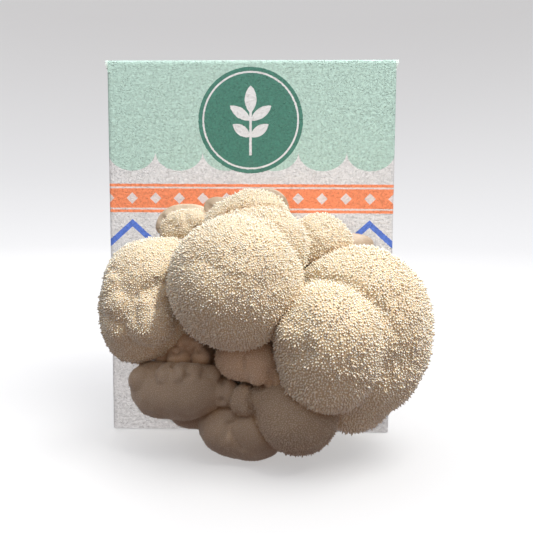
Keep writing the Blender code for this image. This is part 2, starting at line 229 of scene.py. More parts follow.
# Even skin under the spines, and how much room a spot needs for spines of full length
JOIN_SWELL = 0.25 * MM
JOIN_REACH = 6.0 * MM
JOIN_SMOOTHING = 4
SKIN_SWELL = 0.3 * MM
CREASE_SMOOTHING = 1
NO_COAT_ROOM = 0.45 * MM
FULL_COAT_ROOM = 1.6 * MM
LOBE_ROOM = 6.0 * MM
# How far from a neighbouring head the painted crease shade and glow reach
CREASE_SHADE_REACH = 6.0 * MM


def linear(channel):
    """Turn one screen colour channel, 0 to 255, into the linear value a shader takes."""
    value = channel / 255.0
    if value <= 0.04045:
        return value / 12.92
    return ((value + 0.055) / 1.055) ** 2.4


def colour(red, green, blue):
    """Turn a screen colour into a linear colour with full opacity."""
    return (linear(red), linear(green), linear(blue), 1.0)


def camera_axes():
    """Give the camera's directions to the right, up and ahead."""
    pitch, yaw, roll = (math.radians(v) for v in (CAMERA_PITCH, CAMERA_YAW, CAMERA_ROLL))
    ahead = Vector((math.sin(yaw) * math.cos(pitch), math.cos(yaw) * math.cos(pitch),
                    -math.sin(pitch)))
    level = Vector((math.cos(yaw), -math.sin(yaw), 0.0))
    above = level.cross(ahead)
    right = level * math.cos(roll) + above * math.sin(roll)
    up = above * math.cos(roll) - level * math.sin(roll)
    return right, up, ahead


def sight_line(across, down):
    """Give the direction in which the camera sees a pixel of the picture."""
    right, up, ahead = camera_axes()
    focal = PICTURE_WIDTH * CAMERA_LENS / CAMERA_SENSOR
    middle = PICTURE_WIDTH / 2
    return (ahead * focal + right * (across - middle) - up * (down - middle)).normalized()


class Graph:
    """A node tree under construction, with short calls for the nodes that it takes."""

    def __init__(self, tree):
        self.tree = tree

    def node(self, kind, **settings):
        """Add a node, set its properties and return it."""
        item = self.tree.nodes.new(kind)
        for key, value in settings.items():
            setattr(item, key, value)
        return item

    def feed(self, socket, value):
        """Connect an output to an input, or set the input to a plain value."""
        if isinstance(value, bpy.types.NodeSocket):
            self.tree.links.new(value, socket)
        else:
            socket.default_value = value

    def math(self, operation, *values, clamp=False):
        """Add a Math node."""
        item = self.node("ShaderNodeMath", operation=operation, use_clamp=clamp)
        for index, value in enumerate(values):
            self.feed(item.inputs[index], value)
        return item.outputs[0]

    def vector(self, operation, *values):
        """Add a Vector Math node and return its vector."""
        item = self.node("ShaderNodeVectorMath", operation=operation)
        for index, value in enumerate(values):
            self.feed(item.inputs[index], value)
        return item.outputs[0]

    def distance(self, first, second):
        """Give the distance between two points."""
        item = self.node("ShaderNodeVectorMath", operation="DISTANCE")
        self.feed(item.inputs[0], first)
        self.feed(item.inputs[1], second)
        return item.outputs["Value"]

    def split(self, vector):
        """Split a vector into x, y and z."""
        item = self.node("ShaderNodeSeparateXYZ")
        self.feed(item.inputs[0], vector)
        return item.outputs

    def join(self, x, y, z):
        """Join x, y and z into a vector."""
        item = self.node("ShaderNodeCombineXYZ")
        for index, value in enumerate((x, y, z)):
            self.feed(item.inputs[index], value)
        return item.outputs[0]

    def step(self, value, edge, soft):
        """Give 1 where a value is over an edge and 0 where it is under, over a soft width."""
        item = self.node("ShaderNodeMapRange", interpolation_type="SMOOTHSTEP")
        self.feed(item.inputs["Value"], self.math("SUBTRACT", value, edge))
        item.inputs["From Min"].default_value = -soft
        item.inputs["From Max"].default_value = soft
        return item.outputs["Result"]

    def under(self, value, edge, soft):
        """Give 1 where a value is under an edge."""
        return self.math("SUBTRACT", 1.0, self.step(value, edge, soft))

    def ramp(self, value, low, high, to_low=0.0, to_high=1.0):
        """Map a value from one range to another and stop at its ends."""
        item = self.node("ShaderNodeMapRange")
        self.feed(item.inputs["Value"], value)
        item.inputs["From Min"].default_value = low
        item.inputs["From Max"].default_value = high
        item.inputs["To Min"].default_value = to_low
        item.inputs["To Max"].default_value = to_high
        return item.outputs["Result"]

    def blend(self, factor, first, second, mode="MIX"):
        """Mix two colours."""
        item = self.node("ShaderNodeMix", data_type="RGBA", blend_type=mode)
        self.feed(item.inputs["Factor"], factor)
        self.feed(item.inputs[6], first)
        self.feed(item.inputs[7], second)
        return item.outputs[2]

    def noise(self, vector, scale, detail=2.0, rough=0.5):
        """Add a noise texture and return its value."""
        item = self.node("ShaderNodeTexNoise")
        self.feed(item.inputs["Vector"], vector)
        self.feed(item.inputs["Scale"], scale)
        item.inputs["Detail"].default_value = detail
        item.inputs["Roughness"].default_value = rough
        return item.outputs["Fac"]

    def cells(self, vector, scale, feature="F1", smooth=None):
        """Add a Voronoi texture and return the node."""
        item = self.node("ShaderNodeTexVoronoi", feature=feature)
        self.feed(item.inputs["Vector"], vector)
        self.feed(item.inputs["Scale"], scale)
        if smooth is not None:
            item.inputs["Smoothness"].default_value = smooth
        return item


def new_group(name, inputs, outputs):
    """Make a shader node group with named sockets, and give its graph and its two end nodes."""
    tree = bpy.data.node_groups.new(name, "ShaderNodeTree")
    for label, kind, default in inputs:
        socket = tree.interface.new_socket(label, in_out="INPUT", socket_type=kind)
        if default is not None:
            socket.default_value = default
    for label, kind in outputs:
        tree.interface.new_socket(label, in_out="OUTPUT", socket_type=kind)
    graph = Graph(tree)
    return graph, graph.node("NodeGroupInput"), graph.node("NodeGroupOutput")


def use_group(graph, tree, **values):
    """Place a node group in a graph, with values for its named inputs."""
    item = graph.node("ShaderNodeGroup", node_tree=tree)
    for label, value in values.items():
        graph.feed(item.inputs[label.replace("_", " ")], value)
    return item.outputs


def new_material(name, roughness, **constants):
    """Make a material with a Principled shader, and give it, its graph and its shader."""
    material = bpy.data.materials.new(name)
    material.use_nodes = True
    graph = Graph(material.node_tree)
    shader = material.node_tree.nodes["Principled BSDF"]
    graph.feed(shader.inputs["Roughness"], roughness)
    for label, value in constants.items():
        shader.inputs[label.replace("_", " ")].default_value = value
    return material, graph, shader


def object_millimetres(graph):
    """Give the object coordinates in millimetres."""
    coordinates = graph.node("ShaderNodeTexCoord").outputs["Object"]
    return graph.vector("MULTIPLY", coordinates, (1000.0, 1000.0, 1000.0))


def bump(graph, shader, height, strength, distance):
    """Feed a height into a shader's normal."""
    item = graph.node("ShaderNodeBump")
    item.inputs["Strength"].default_value = strength
    item.inputs["Distance"].default_value = distance
    graph.feed(item.inputs["Height"], height)
    graph.feed(shader.inputs["Normal"], item.outputs["Normal"])


def speck_group():
    """Flecks of recycled fibre: a mask of small specks, used by card, paper and sawdust."""
    graph, start, end = new_group(
        "Fibre specks",
        [("Vector", "NodeSocketVector", None), ("Scale", "NodeSocketFloat", 1.0),
         ("Cover", "NodeSocketFloat", 0.2)],
        [("Mask", "NodeSocketFloat")])
    warp = graph.noise(start.outputs["Vector"], start.outputs["Scale"], 3.0)
    nudge = graph.join(graph.math("MULTIPLY", warp, 2.0), warp, warp)
    moved = graph.vector("ADD", start.outputs["Vector"], nudge)
    cell = graph.cells(moved, start.outputs["Scale"])
    pick = graph.split(cell.outputs["Color"])[0]
    chosen = graph.math("LESS_THAN", pick, start.outputs["Cover"])
    small = graph.under(cell.outputs["Distance"], 0.22, 0.1)
    graph.feed(end.inputs["Mask"], graph.math("MULTIPLY", chosen, small))
    return graph.tree


def bead_group():
    """Raised round beads of two sizes, as a height from 0 to 1, used by card and film."""
    graph, start, end = new_group(
        "Bead relief",
        [("Vector", "NodeSocketVector", None), ("Scale", "NodeSocketFloat", 1.0),
         ("Cover", "NodeSocketFloat", 0.6)],
        [("Height", "NodeSocketFloat")])
    heights = []
    for size, share in ((1.0, 1.0), (2.3, 0.55)):
        scale = graph.math("MULTIPLY", start.outputs["Scale"], size)
        cell = graph.cells(start.outputs["Vector"], scale)
        pick = graph.split(cell.outputs["Color"])
        chosen = graph.math("LESS_THAN", pick[0], start.outputs["Cover"])
        reach = graph.ramp(pick[1], 0.0, 1.0, 0.18, 0.46)
        ratio = graph.math("DIVIDE", cell.outputs["Distance"], reach)
        dome = graph.math("SUBTRACT", 1.0, graph.math("POWER", ratio, 2.0), clamp=True)
        dome = graph.math("SQRT", dome)
        heights.append(graph.math(
            "MULTIPLY", graph.math("MULTIPLY", dome, chosen), graph.math(
                "MULTIPLY", reach, share * 2.0)))
    graph.feed(end.inputs["Height"], graph.math("MAXIMUM", *heights))
    return graph.tree


def mottle_group():
    """Soft uneven tone from two noises, as a mask from 0 to 1, used by flesh, card, film and block."""
    graph, start, end = new_group(
        "Mottle",
        [("Vector", "NodeSocketVector", None), ("Size", "NodeSocketFloat", 10.0)],
        [("Mask", "NodeSocketFloat")])
    scale = graph.math("DIVIDE", 1.0, start.outputs["Size"])
    broad = graph.noise(start.outputs["Vector"], scale, 3.0, 0.55)
    fine = graph.noise(start.outputs["Vector"], graph.math("MULTIPLY", scale, 6.0), 2.0, 0.6)
    total = graph.math("ADD", graph.math("MULTIPLY", broad, 0.7), graph.math("MULTIPLY", fine, 0.3))
    graph.feed(end.inputs["Mask"], graph.ramp(total, 0.32, 0.68))
    return graph.tree


def shared_group(make, name):
    """Give a shader group, and build it the first time that it is asked for."""
    return bpy.data.node_groups.get(name) or make()


class CardPrint:
    """The print on the card, laid out in millimetres: u runs round the carton, v is height."""

    soft = 0.12

    def __init__(self, graph, place, look):
        self.graph = graph
        self.look = look
        x, y, z = graph.split(place)
        normal = graph.node("ShaderNodeNewGeometry").outputs["True Normal"]
        nx, ny, nz = graph.split(normal)
        facing_side = graph.math("GREATER_THAN", graph.math("ABSOLUTE", nx), 0.7)
        self.facing_up = graph.math("GREATER_THAN", graph.math("ABSOLUTE", nz), 0.7)
        wobble = graph.math("MULTIPLY", graph.math("SUBTRACT", graph.noise(
            place, 0.9, 2.0), 0.5), look.ink_wobble)
        across = graph.math("MULTIPLY", x, graph.math("SUBTRACT", 0.0, graph.math("SIGN", ny)))
        along = graph.math("MULTIPLY", y, graph.math("SIGN", nx))
        u = graph.node("ShaderNodeMix", data_type="FLOAT")
        graph.feed(u.inputs[0], facing_side)
        graph.feed(u.inputs[2], across)
        graph.feed(u.inputs[3], along)
        self.u = graph.math("ADD", u.outputs[0], wobble)
        self.v = graph.math("ADD", z, wobble)
        self.on_side = facing_side

    def band(self, value, low, high):
        """Give a mask of a value between two edges."""
        return self.graph.math(
            "MULTIPLY", self.graph.step(value, low, self.soft),
            self.graph.under(value, high, self.soft))

    def sawtooth(self, value, period):
        """Fold a value into a triangle wave that runs from 0 to half its period and back."""
        return self.graph.math("PINGPONG", value, period / 2)

    def mint_field(self):
        """The pale green upper part, whose lower edge is a row of scallops."""
        graph = self.graph
        period = self.look.scallop_width
        drop = graph.math("SUBTRACT", period / 2, self.sawtooth(self.u, period))
        inside = graph.math("SUBTRACT", (period / 2) ** 2, graph.math("POWER", drop, 2.0))
        lobe = graph.math("SQRT", graph.math("MAXIMUM", inside, 0.0))
        edge = graph.math("SUBTRACT", self.look.mint_edge, graph.math("MULTIPLY", lobe, 0.8))
        return graph.step(self.v, edge, self.soft)

    def ribbon(self):
        """The orange band round the carton, and the thin line along each edge of it."""
        low = self.look.ribbon_low
        high = low + self.look.ribbon_width
        inset = self.look.ribbon_line
        body = self.band(self.v, low, high)
        lines = self.graph.math(
            "MAXIMUM", self.band(self.v, low + inset, low + 1.6 * inset),
            self.band(self.v, high - 1.6 * inset, high - inset))
        return body, lines

    def ribbon_diamonds(self):
        """A row of small diamonds along the middle of the ribbon."""
        graph = self.graph
        middle = self.look.ribbon_low + self.look.ribbon_width / 2
        across = self.sawtooth(self.u, self.look.scallop_width / 2)
        rise = graph.math("ABSOLUTE", graph.math("SUBTRACT", self.v, middle))
        total = graph.math("ADD", across, rise)
        return graph.under(total, self.look.ribbon_width * 0.2, self.soft)

    def zigzags(self):
        """Two blue zigzag lines below the ribbon."""
        graph = self.graph
        period = self.look.zigzag_width
        wave = graph.math("MULTIPLY", self.sawtooth(self.u, period), self.look.zigzag_slope)
        rise = graph.math("SUBTRACT", self.v, wave)
        masks = []
        for index in range(2):
            low = self.look.zigzag_low + index * self.look.zigzag_gap
            masks.append(self.band(rise, low, low + self.look.zigzag_line))
        return graph.math("MAXIMUM", *masks)

    def disc(self, centre, radius):
        """A round patch on the front and the back."""
        graph = self.graph
        reach = graph.distance(graph.join(self.u, self.v, 0.0), (centre[0], centre[1], 0.0))
        flat = graph.math("SUBTRACT", 1.0, self.on_side)
        return reach, graph.math("MULTIPLY", graph.under(reach, radius, self.soft), flat)

    def leaf(self, centre, turn, length, width):
        """One pointed leaf: where two discs overlap."""
        graph = self.graph
        angle = math.radians(turn)
        du = graph.math("SUBTRACT", self.u, centre[0])
        dv = graph.math("SUBTRACT", self.v, centre[1])
        along = graph.math("ADD", graph.math("MULTIPLY", du, math.cos(angle)), graph.math(
            "MULTIPLY", dv, math.sin(angle)))
        across = graph.math("SUBTRACT", graph.math("MULTIPLY", dv, math.cos(angle)), graph.math(
            "MULTIPLY", du, math.sin(angle)))
        along = graph.math("SUBTRACT", along, length / 2)
        radius = (length ** 2 / 4 + width ** 2 / 4) / width
        offset = radius - width / 2
        away = graph.math("ADD", graph.math("ABSOLUTE", across), offset)
        reach = graph.distance(graph.join(along, away, 0.0), (0.0, 0.0, 0.0))
        return graph.under(reach, radius, self.soft)

    def sprig(self, centre):
        """A generic sprig: a short stem with a leaf at its tip and pairs down its sides."""
        graph = self.graph
        x, y = centre
        masks = [self.leaf((x, y + 6.0), 90.0, 15.0, 6.5)]
        for rise, size in ((2.0, 14.0), (-7.0, 12.0)):
            for turn in (35.0, 145.0):
                masks.append(self.leaf((x, y + rise), turn, size, 5.5))
        stem = graph.math("MULTIPLY", self.band(self.u, x - 0.7, x + 0.7), self.band(
            self.v, y - 17.0, y + 8.0))
        masks.append(stem)
        total = masks[0]
        for mask in masks[1:]:
            total = graph.math("MAXIMUM", total, mask)
        return total


class CardLook(bpy.types.PropertyGroup):
    """Colours and layout of the printed carton."""

    paper: bpy.props.FloatVectorProperty(
        name="Paper", description="Colour of the bare recycled card", subtype="COLOR", size=4,
        default=colour(222, 220, 218))
    mint: bpy.props.FloatVectorProperty(
        name="Mint", description="Colour of the upper field", subtype="COLOR", size=4,
        default=colour(180, 209, 195))
    green: bpy.props.FloatVectorProperty(
        name="Dark green", description="Colour of the round patch", subtype="COLOR", size=4,
        default=colour(50, 116, 97))
    orange: bpy.props.FloatVectorProperty(
        name="Orange", description="Colour of the ribbon", subtype="COLOR", size=4,
        default=colour(246, 138, 86))
    blue: bpy.props.FloatVectorProperty(
        name="Blue", description="Colour of the zigzag lines", subtype="COLOR", size=4,
        default=colour(76, 116, 208))
    mint_edge: bpy.props.FloatProperty(
        name="Mint edge", description="Height of the scallops' roots, in millimetres",
        default=160.0)
    scallop_width: bpy.props.FloatProperty(
        name="Scallop width", description="Width of one scallop, in millimetres", default=26.667)
    ribbon_low: bpy.props.FloatProperty(
        name="Ribbon height", description="Height of the ribbon's lower edge, in millimetres",
        default=126.0)
    ribbon_width: bpy.props.FloatProperty(
        name="Ribbon width", description="Width of the ribbon, in millimetres", default=16.0)
    ribbon_line: bpy.props.FloatProperty(
        name="Ribbon line", description="Inset of the ribbon's thin lines, in millimetres",
        default=1.6)
    zigzag_low: bpy.props.FloatProperty(
        name="Zigzag height", description="Height of the lower zigzag, in millimetres",
        default=93.0)
    zigzag_gap: bpy.props.FloatProperty(
        name="Zigzag gap", description="Height from one zigzag to the next, in millimetres",
        default=13.0)
    zigzag_line: bpy.props.FloatProperty(
        name="Zigzag line", description="Height of a zigzag line, in millimetres", default=4.2)
    zigzag_width: bpy.props.FloatProperty(
        name="Zigzag width", description="Width of one zigzag, in millimetres", default=26.667)
    zigzag_slope: bpy.props.FloatProperty(
        name="Zigzag slope", description="Slope of the zigzag lines", default=0.9)
    patch_radius: bpy.props.FloatProperty(
        name="Patch radius", description="Radius of the round patch, in millimetres",
        default=29.0)
    patch_height: bpy.props.FloatProperty(
        name="Patch height", description="Height of the patch's middle, in millimetres",
        default=177.0)
    ink_wobble: bpy.props.FloatProperty(
        name="Ink wobble", description="Unevenness of the printed edges, in millimetres",
        default=0.5)


class MushroomLook(bpy.types.PropertyGroup):
    """Colours and coat of the mushroom."""

    tip: bpy.props.FloatVectorProperty(
        name="Tips", description="Colour of the spines' tips", subtype="COLOR", size=4,
        default=colour(253, 246, 228))
    # Root colour: partly the flesh's own warmer tone, partly painted shade deep between the spines
    root: bpy.props.FloatVectorProperty(
        name="Roots", description="Colour of the flesh between the spines", subtype="COLOR",
        size=4, default=colour(228, 206, 168))
    # Crease colour: painted shade and painted ochre glow where a head meets its neighbours
    crease_shade: bpy.props.FloatVectorProperty(
        name="Creases", description="Colour deep in the clefts", subtype="COLOR", size=4,
        default=colour(214, 170, 114))
    # Smooth flesh colours: darker and pinker than the furry flesh, partly the older flesh's own tone
    # and partly painted shade for the shaded lower heads
    shaded_smooth_tip: bpy.props.FloatVectorProperty(
        name="Smooth tips", description="Colour of the spines' tips on the smooth lower heads",
        subtype="COLOR", size=4, default=colour(242, 222, 198))
    shaded_smooth_root: bpy.props.FloatVectorProperty(
        name="Smooth roots", description="Colour of the flesh of the smooth lower heads",
        subtype="COLOR", size=4, default=colour(216, 186, 152))
    rim: bpy.props.FloatVectorProperty(
        name="Rims", description="Colour of the bare rims", subtype="COLOR", size=4,
        default=colour(232, 214, 186))
    rim_stain: bpy.props.FloatVectorProperty(
        name="Rim stains", description="Colour of the stains on the bare rims",
        subtype="COLOR", size=4, default=colour(168, 146, 120))
    droop: bpy.props.FloatProperty(
        name="Droop", description="How far a spine's tip hangs, as a share of its length",
        default=0.12)
    lean: bpy.props.FloatProperty(
        name="Lean", description="Largest random lean of a spine", subtype="ANGLE",
        default=math.radians(25.0))
    tuft_lean: bpy.props.FloatProperty(
        name="Tuft lean", description="Largest lean that neighbouring spines share",
        subtype="ANGLE", default=math.radians(16.0))
    tuft_size: bpy.props.FloatProperty(
        name="Tuft size", description="Width of a tuft of spines that lean alike",
        unit="LENGTH", default=4.0 * MM)


class StudioLook(bpy.types.PropertyGroup):
    """Lights and floor."""

    key_power: bpy.props.FloatProperty(
        name="Key power", description="Power of the main light", unit="POWER", default=29.0)
    key_size: bpy.props.FloatProperty(
        name="Key size", description="Width of the main light", unit="LENGTH", default=0.07)
    floor_size: bpy.props.FloatProperty(
        name="Floor light size", description="Width of the light that falls on the floor",
        unit="LENGTH", default=0.9)
    floor_share: bpy.props.FloatProperty(
        name="Floor light share", description="Power of the floor's light beside the main light's",
        subtype="FACTOR", default=0.6)
    front_power: bpy.props.FloatProperty(
        name="Front power", description="Power of the soft light on the carton's front",
        unit="POWER", default=25.0)
    front_size: bpy.props.FloatProperty(
        name="Front size", description="Width of the light in front", unit="LENGTH", default=1.4)
    back_power: bpy.props.FloatProperty(
        name="Back power", description="Power of the soft light behind", unit="POWER",
        default=6.0)
    back_size: bpy.props.FloatProperty(
        name="Back size", description="Width of the light behind", unit="LENGTH", default=0.9)
    fill_power: bpy.props.FloatProperty(
        name="Fill power", description="Power of the low light on the upper heads' undersides",
        unit="POWER", default=3.3)
    fill_colour: bpy.props.FloatVectorProperty(
        name="Fill colour", description="Colour of the low light", subtype="COLOR", size=3,
        default=(1.0, 0.80, 0.76))
    above: bpy.props.FloatVectorProperty(
        name="Surround above", description="Light from the upper half of the surround",
        subtype="COLOR", size=4, default=(1.05, 1.07, 1.17, 1.0))
    level: bpy.props.FloatVectorProperty(
        name="Surround level", description="Light from the surround at eye level",
        subtype="COLOR", size=4, default=(0.064, 0.054, 0.060, 1.0))
    below: bpy.props.FloatVectorProperty(
        name="Surround below", description="Light from the lower half of the surround",
        subtype="COLOR", size=4, default=(0.130, 0.092, 0.094, 1.0))
    floor: bpy.props.FloatVectorProperty(
        name="Floor", description="Colour of the floor and sweep", subtype="COLOR", size=4,
        default=colour(188, 187, 184))
    floor_glow: bpy.props.FloatProperty(
        name="Floor glow", description="Light of its own that the floor gives the camera",
        default=0.42)


def coat_tree():
    """Build the tree that raises lumps on a skin and grows spines out of it."""
    tree = bpy.data.node_groups.new("Spine coat", "GeometryNodeTree")
    inputs = (
        ("Geometry", "NodeSocketGeometry", None), ("Length", "NodeSocketFloat", 0.002),
        ("Spacing", "NodeSocketFloat", 0.001), ("Thickness", "NodeSocketFloat", 0.0006),
        ("Droop", "NodeSocketFloat", 0.12), ("Lean", "NodeSocketFloat", 0.45),
        ("Tuft Lean", "NodeSocketFloat", 1.2), ("Tuft Size", "NodeSocketFloat", 0.004),
        ("Lump Height", "NodeSocketFloat", 0.0005), ("Lump Size", "NodeSocketFloat", 0.012),
        ("Seed", "NodeSocketInt", 1), ("Material", "NodeSocketMaterial", None))
    for label, kind, default in inputs:
        socket = tree.interface.new_socket(label, in_out="INPUT", socket_type=kind)
        if default is not None:
            socket.default_value = default
    tree.interface.new_socket("Geometry", in_out="OUTPUT", socket_type="NodeSocketGeometry")
    graph = Graph(tree)
    given = graph.node("NodeGroupInput").outputs
    end = graph.node("NodeGroupOutput")

    def put(geometry, kind, **settings):
        """Add a node that changes a geometry, fed with that geometry."""
        item = graph.node(kind, **settings)
        graph.feed(item.inputs[0], geometry)
        return item

    normal = graph.node("GeometryNodeInputNormal").outputs[0]
    place = graph.node("GeometryNodeInputPosition").outputs[0]
    room = graph.node("GeometryNodeInputNamedAttribute", data_type="FLOAT")
    room.inputs["Name"].default_value = "room"
    room = room.outputs["Attribute"]

    # Lumps: broad swellings with soft valleys between them, and a finer unevenness over them
    shift = graph.vector("ADD", place, graph.join(given["Seed"], 0.0, 0.0))
    scale = graph.math("DIVIDE", 1.0, given["Lump Size"])
    swell = graph.cells(shift, scale, "SMOOTH_F1", 0.7).outputs["Distance"]
    broad = graph.math("SUBTRACT", 0.5, swell)
    fine = graph.noise(shift, graph.math("MULTIPLY", scale, 3.5), 2.0)
    fine = graph.math("MULTIPLY", graph.math("SUBTRACT", fine, 0.5), 0.5)
    lift = graph.math("MULTIPLY", graph.math("ADD", broad, fine), given["Lump Height"])
    lift = graph.math("MULTIPLY", graph.math("MULTIPLY", lift, 2.0), room)
    raised = put(given["Geometry"], "GeometryNodeSetPosition")
    rise = graph.node("ShaderNodeVectorMath", operation="SCALE")
    graph.feed(rise.inputs[0], normal)
    graph.feed(rise.inputs["Scale"], lift)
    graph.feed(raised.inputs["Offset"], rise.outputs[0])
    skin = raised.outputs[0]

    # One spine: a cone along +Z whose flanks bulge, with its height stored along it
    cone = graph.node("GeometryNodeMeshCone", fill_type="NONE")
    cone.inputs["Vertices"].default_value = SPINE_SIDES
    cone.inputs["Side Segments"].default_value = SPINE_SEGMENTS
    cone.inputs["Radius Top"].default_value = 0.0
    cone.inputs["Radius Bottom"].default_value = 0.5
    cone.inputs["Depth"].default_value = 1.0
    x, y, z = graph.split(place)
    bulge = graph.math("ADD", 1.0, graph.math("MULTIPLY", z, 2.6))
    shaped = put(cone.outputs["Mesh"], "GeometryNodeSetPosition")
    graph.feed(shaped.inputs["Position"], graph.join(
        graph.math("MULTIPLY", x, bulge), graph.math("MULTIPLY", y, bulge), z))
    marked = put(shaped.outputs[0], "GeometryNodeStoreNamedAttribute",
                 data_type="FLOAT", domain="POINT")
    marked.inputs["Name"].default_value = "tip"
    graph.feed(marked.inputs["Value"], z)

    # Where the spines stand: evenly spread, thinning out where a neighbour touches
    seats = graph.node("GeometryNodeDistributePointsOnFaces", distribute_method="POISSON")
    graph.feed(seats.inputs["Mesh"], skin)
    graph.feed(seats.inputs["Distance Min"], given["Spacing"])
    seats.inputs["Density Max"].default_value = 3.0e6
    graph.feed(seats.inputs["Density Factor"], graph.math("GREATER_THAN", room, 0.0))
    graph.feed(seats.inputs["Seed"], given["Seed"])
    planted = put(seats.outputs["Points"], "GeometryNodeInstanceOnPoints")
    graph.feed(planted.inputs["Instance"], marked.outputs[0])
    graph.feed(planted.inputs["Rotation"], seats.outputs["Rotation"])

    def chance(low, high, offset, kind="FLOAT"):
        """Give a random value for each spine."""
        item = graph.node("FunctionNodeRandomValue", data_type=kind)
        first, second = (2, 3) if kind == "FLOAT" else (0, 1)
        graph.feed(item.inputs[first], low)
        graph.feed(item.inputs[second], high)
        graph.feed(item.inputs["Seed"], graph.math("ADD", given["Seed"], offset))
        return item.outputs[1 if kind == "FLOAT" else 0]

    short = graph.ramp(room, 0.0, 1.0, 0.55, 1.0)
    luck = graph.math("POWER", chance(0.0, 1.0, 11.0), 4.5)
    growth = graph.math("ADD", 0.5, graph.math("MULTIPLY", luck, 1.5))
    tall = graph.math("MULTIPLY", graph.math("MULTIPLY", given["Length"], short), growth)
    wide = graph.math("MULTIPLY", given["Thickness"], chance(0.8, 1.15, 12.0))
    graph.feed(planted.inputs["Scale"], graph.join(wide, wide, tall))
    leaned = put(planted.outputs[0], "GeometryNodeRotateInstances")
    lean_high = graph.join(given["Lean"], given["Lean"], math.pi)
    lean_low = graph.vector("MULTIPLY", lean_high, (-1.0, -1.0, -1.0))
    own_lean = chance(lean_low, lean_high, 13.0, "FLOAT_VECTOR")
    tuft = graph.node("ShaderNodeTexNoise")
    graph.feed(tuft.inputs["Vector"], shift)
    graph.feed(tuft.inputs["Scale"], graph.math("DIVIDE", 1.0, given["Tuft Size"]))
    tuft = graph.vector("SUBTRACT", tuft.outputs["Color"], (0.5, 0.5, 0.5))
    shared_lean = graph.vector("MULTIPLY", tuft, graph.join(
        given["Tuft Lean"], given["Tuft Lean"], 0.0))
    graph.feed(leaned.inputs["Rotation"], graph.vector("ADD", own_lean, shared_lean))
    toned = put(leaned.outputs[0], "GeometryNodeStoreNamedAttribute",
                data_type="FLOAT", domain="INSTANCE")
    toned.inputs["Name"].default_value = "tone"
    graph.feed(toned.inputs["Value"], chance(0.0, 1.0, 14.0))

    # Skin and spines together, with the tips hanging a little
    both = graph.node("GeometryNodeJoinGeometry")
    graph.feed(both.inputs[0], toned.outputs[0])
    graph.feed(both.inputs[0], skin)
    real = put(both.outputs[0], "GeometryNodeRealizeInstances")
    along = graph.node("GeometryNodeInputNamedAttribute", data_type="FLOAT")
    along.inputs["Name"].default_value = "tip"
    fall = graph.math("MULTIPLY", graph.math("POWER", along.outputs["Attribute"], 2.0), given[
        "Droop"])
    fall = graph.math("MULTIPLY", graph.math("MULTIPLY", fall, given["Length"]), -1.0)
    hung = put(real.outputs[0], "GeometryNodeSetPosition")
    graph.feed(hung.inputs["Offset"], graph.join(0.0, 0.0, fall))
    smooth = put(hung.outputs[0], "GeometryNodeSetShadeSmooth")
    painted = put(smooth.outputs[0], "GeometryNodeSetMaterial")
    graph.feed(painted.inputs["Material"], given["Material"])
    graph.feed(end.inputs[0], painted.outputs[0])
    return tree


def search_tree(mesh):
    """Give a search tree of a mesh's faces."""
    return BVHTree.FromPolygons([vertex.co for vertex in mesh.vertices],
                                [tuple(face.vertices) for face in mesh.polygons])


def seen_spot(tree, middle, across, down):
    """Give the place on a skin that the camera sees at a pixel, or, where the pixel lies just
    past the skin's edge, the place on the line of sight that is nearest to the skin."""
    eye = Vector(CAMERA_PLACE)
    sight = sight_line(across, down)
    spot = tree.ray_cast(eye, sight)[0]
    if spot is None:
        beside = eye + sight * (middle - eye).dot(sight)
        edge = tree.find_nearest(beside)[0]
        spot = eye + sight * (edge - eye).dot(sight)
    return spot


def copied_skin(name):
    """Copy the meshes of a pom-pom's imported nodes, swell them into each other where there are
    two or more, and add the knobs."""
    nodes = POMS[name].nodes
    bm = bmesh.new()
    for node in nodes:
        bm.from_mesh(frame["nodes"][node].data)
    bmesh.ops.remove_doubles(bm, verts=bm.verts, dist=0.01 * MM)
    bm.normal_update()
    if len(nodes) > 1:
        for vertex in bm.verts:
            vertex.co += vertex.normal * JOIN_SWELL
    tree = BVHTree.FromBMesh(bm)
    middle = sum((vertex.co for vertex in bm.verts), Vector()) / len(bm.verts)
    for across, down, radius, rise in KNOBS.get(name, ()):
        place = seen_spot(tree, middle, across, down)
        place += sight_line(across, down) * ((radius - rise) * MM)
        bmesh.ops.create_icosphere(bm, subdivisions=KNOB_FACETS, radius=radius * MM,
                                   matrix=Matrix.Translation(place))
    mesh = bpy.data.meshes.new(name + "_skin")
    bm.to_mesh(mesh)
    bm.free()
    mesh.materials.clear()
    return mesh


def evaluated_mesh(item):
    """Turn an object with its modifiers into a plain mesh, and clear the modifiers."""
    graph = bpy.context.evaluated_depsgraph_get()
    mesh = bpy.data.meshes.new_from_object(
        item.evaluated_get(graph), preserve_all_data_layers=True, depsgraph=graph)
    item.modifiers.clear()
    item.data = mesh
    return mesh


def neighbour_tree(own_nodes):
    """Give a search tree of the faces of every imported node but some."""
    points = []
    faces = []
    for name, item in frame["nodes"].items():
        if name in own_nodes:
            continue
        start = len(points)
        points.extend(vertex.co.copy() for vertex in item.data.vertices)
        faces.extend([start + index for index in face.vertices] for face in item.data.polygons)
    return BVHTree.FromPolygons(points, faces)


def soften_joins(mesh, nodes):
    """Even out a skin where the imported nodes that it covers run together."""
    trees = [search_tree(frame["nodes"][node].data) for node in nodes]
    chosen = []
    for vertex in mesh.vertices:
        gaps = [tree.find_nearest(vertex.co, JOIN_REACH)[3] for tree in trees]
        if sum(gap is not None for gap in gaps) > 1:
            chosen.append(vertex.index)
    smooth_points(mesh, chosen, JOIN_SMOOTHING)


def share(value, low, high):
    """Give how far a value is from one limit to another, from 0 to 1."""
    return min(max((value - low) / (high - low), 0.0), 1.0)


def smooth_points(mesh, chosen, rounds):
    """Even out some of a mesh's points."""
    bm = bmesh.new()
    bm.from_mesh(mesh)
    bm.verts.ensure_lookup_table()
    points = [bm.verts[index] for index in chosen]
    for _ in range(rounds):
        bmesh.ops.smooth_vert(bm, verts=points, factor=0.5, use_axis_x=True, use_axis_y=True,
                              use_axis_z=True)
    bm.to_mesh(mesh)
    bm.free()


